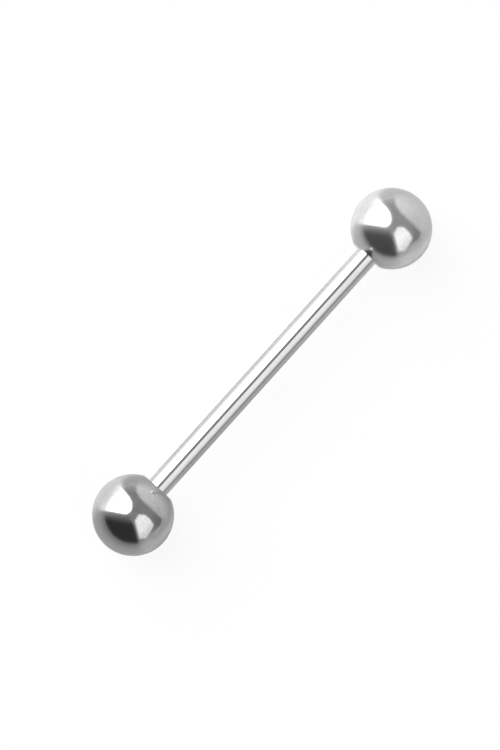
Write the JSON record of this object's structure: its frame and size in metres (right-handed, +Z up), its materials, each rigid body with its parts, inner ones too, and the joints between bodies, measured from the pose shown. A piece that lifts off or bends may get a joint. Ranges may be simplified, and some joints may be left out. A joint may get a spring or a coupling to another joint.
{
  "type": "tongue barbell",
  "caption": "Straight barbell for a tongue piercing: a round polished steel bar whose threaded ends carry screw-on balls with small flat seats.",
  "frame": {"origin": "on the surface that the barbell lies on, under the middle of its bar", "axes": "+X along the bar towards the top ball, +Z up from the surface, +Y level across the bar"},
  "size_m": [0.0332, 0.0058, 0.0058],
  "materials": {
    "bar_steel": "polished",
    "ball_steel": "polished"
  },
  "bodies": {
    "bar": {"bar": "bar_steel"},
    "top_ball": {"top_ball": "ball_steel"},
    "bottom_ball": {"bottom_ball": "ball_steel"}
  },
  "joints": [
    {"name": "top_ball_unscrews", "type": "slide", "parent": "bar", "child": "top_ball", "axis": [1, 0, 0], "range_m": [0, 0.0045]},
    {"name": "bottom_ball_unscrews", "type": "slide", "parent": "bar", "child": "bottom_ball", "axis": [-1, 0, 0], "range_m": [0, 0.0045]}
  ]
}
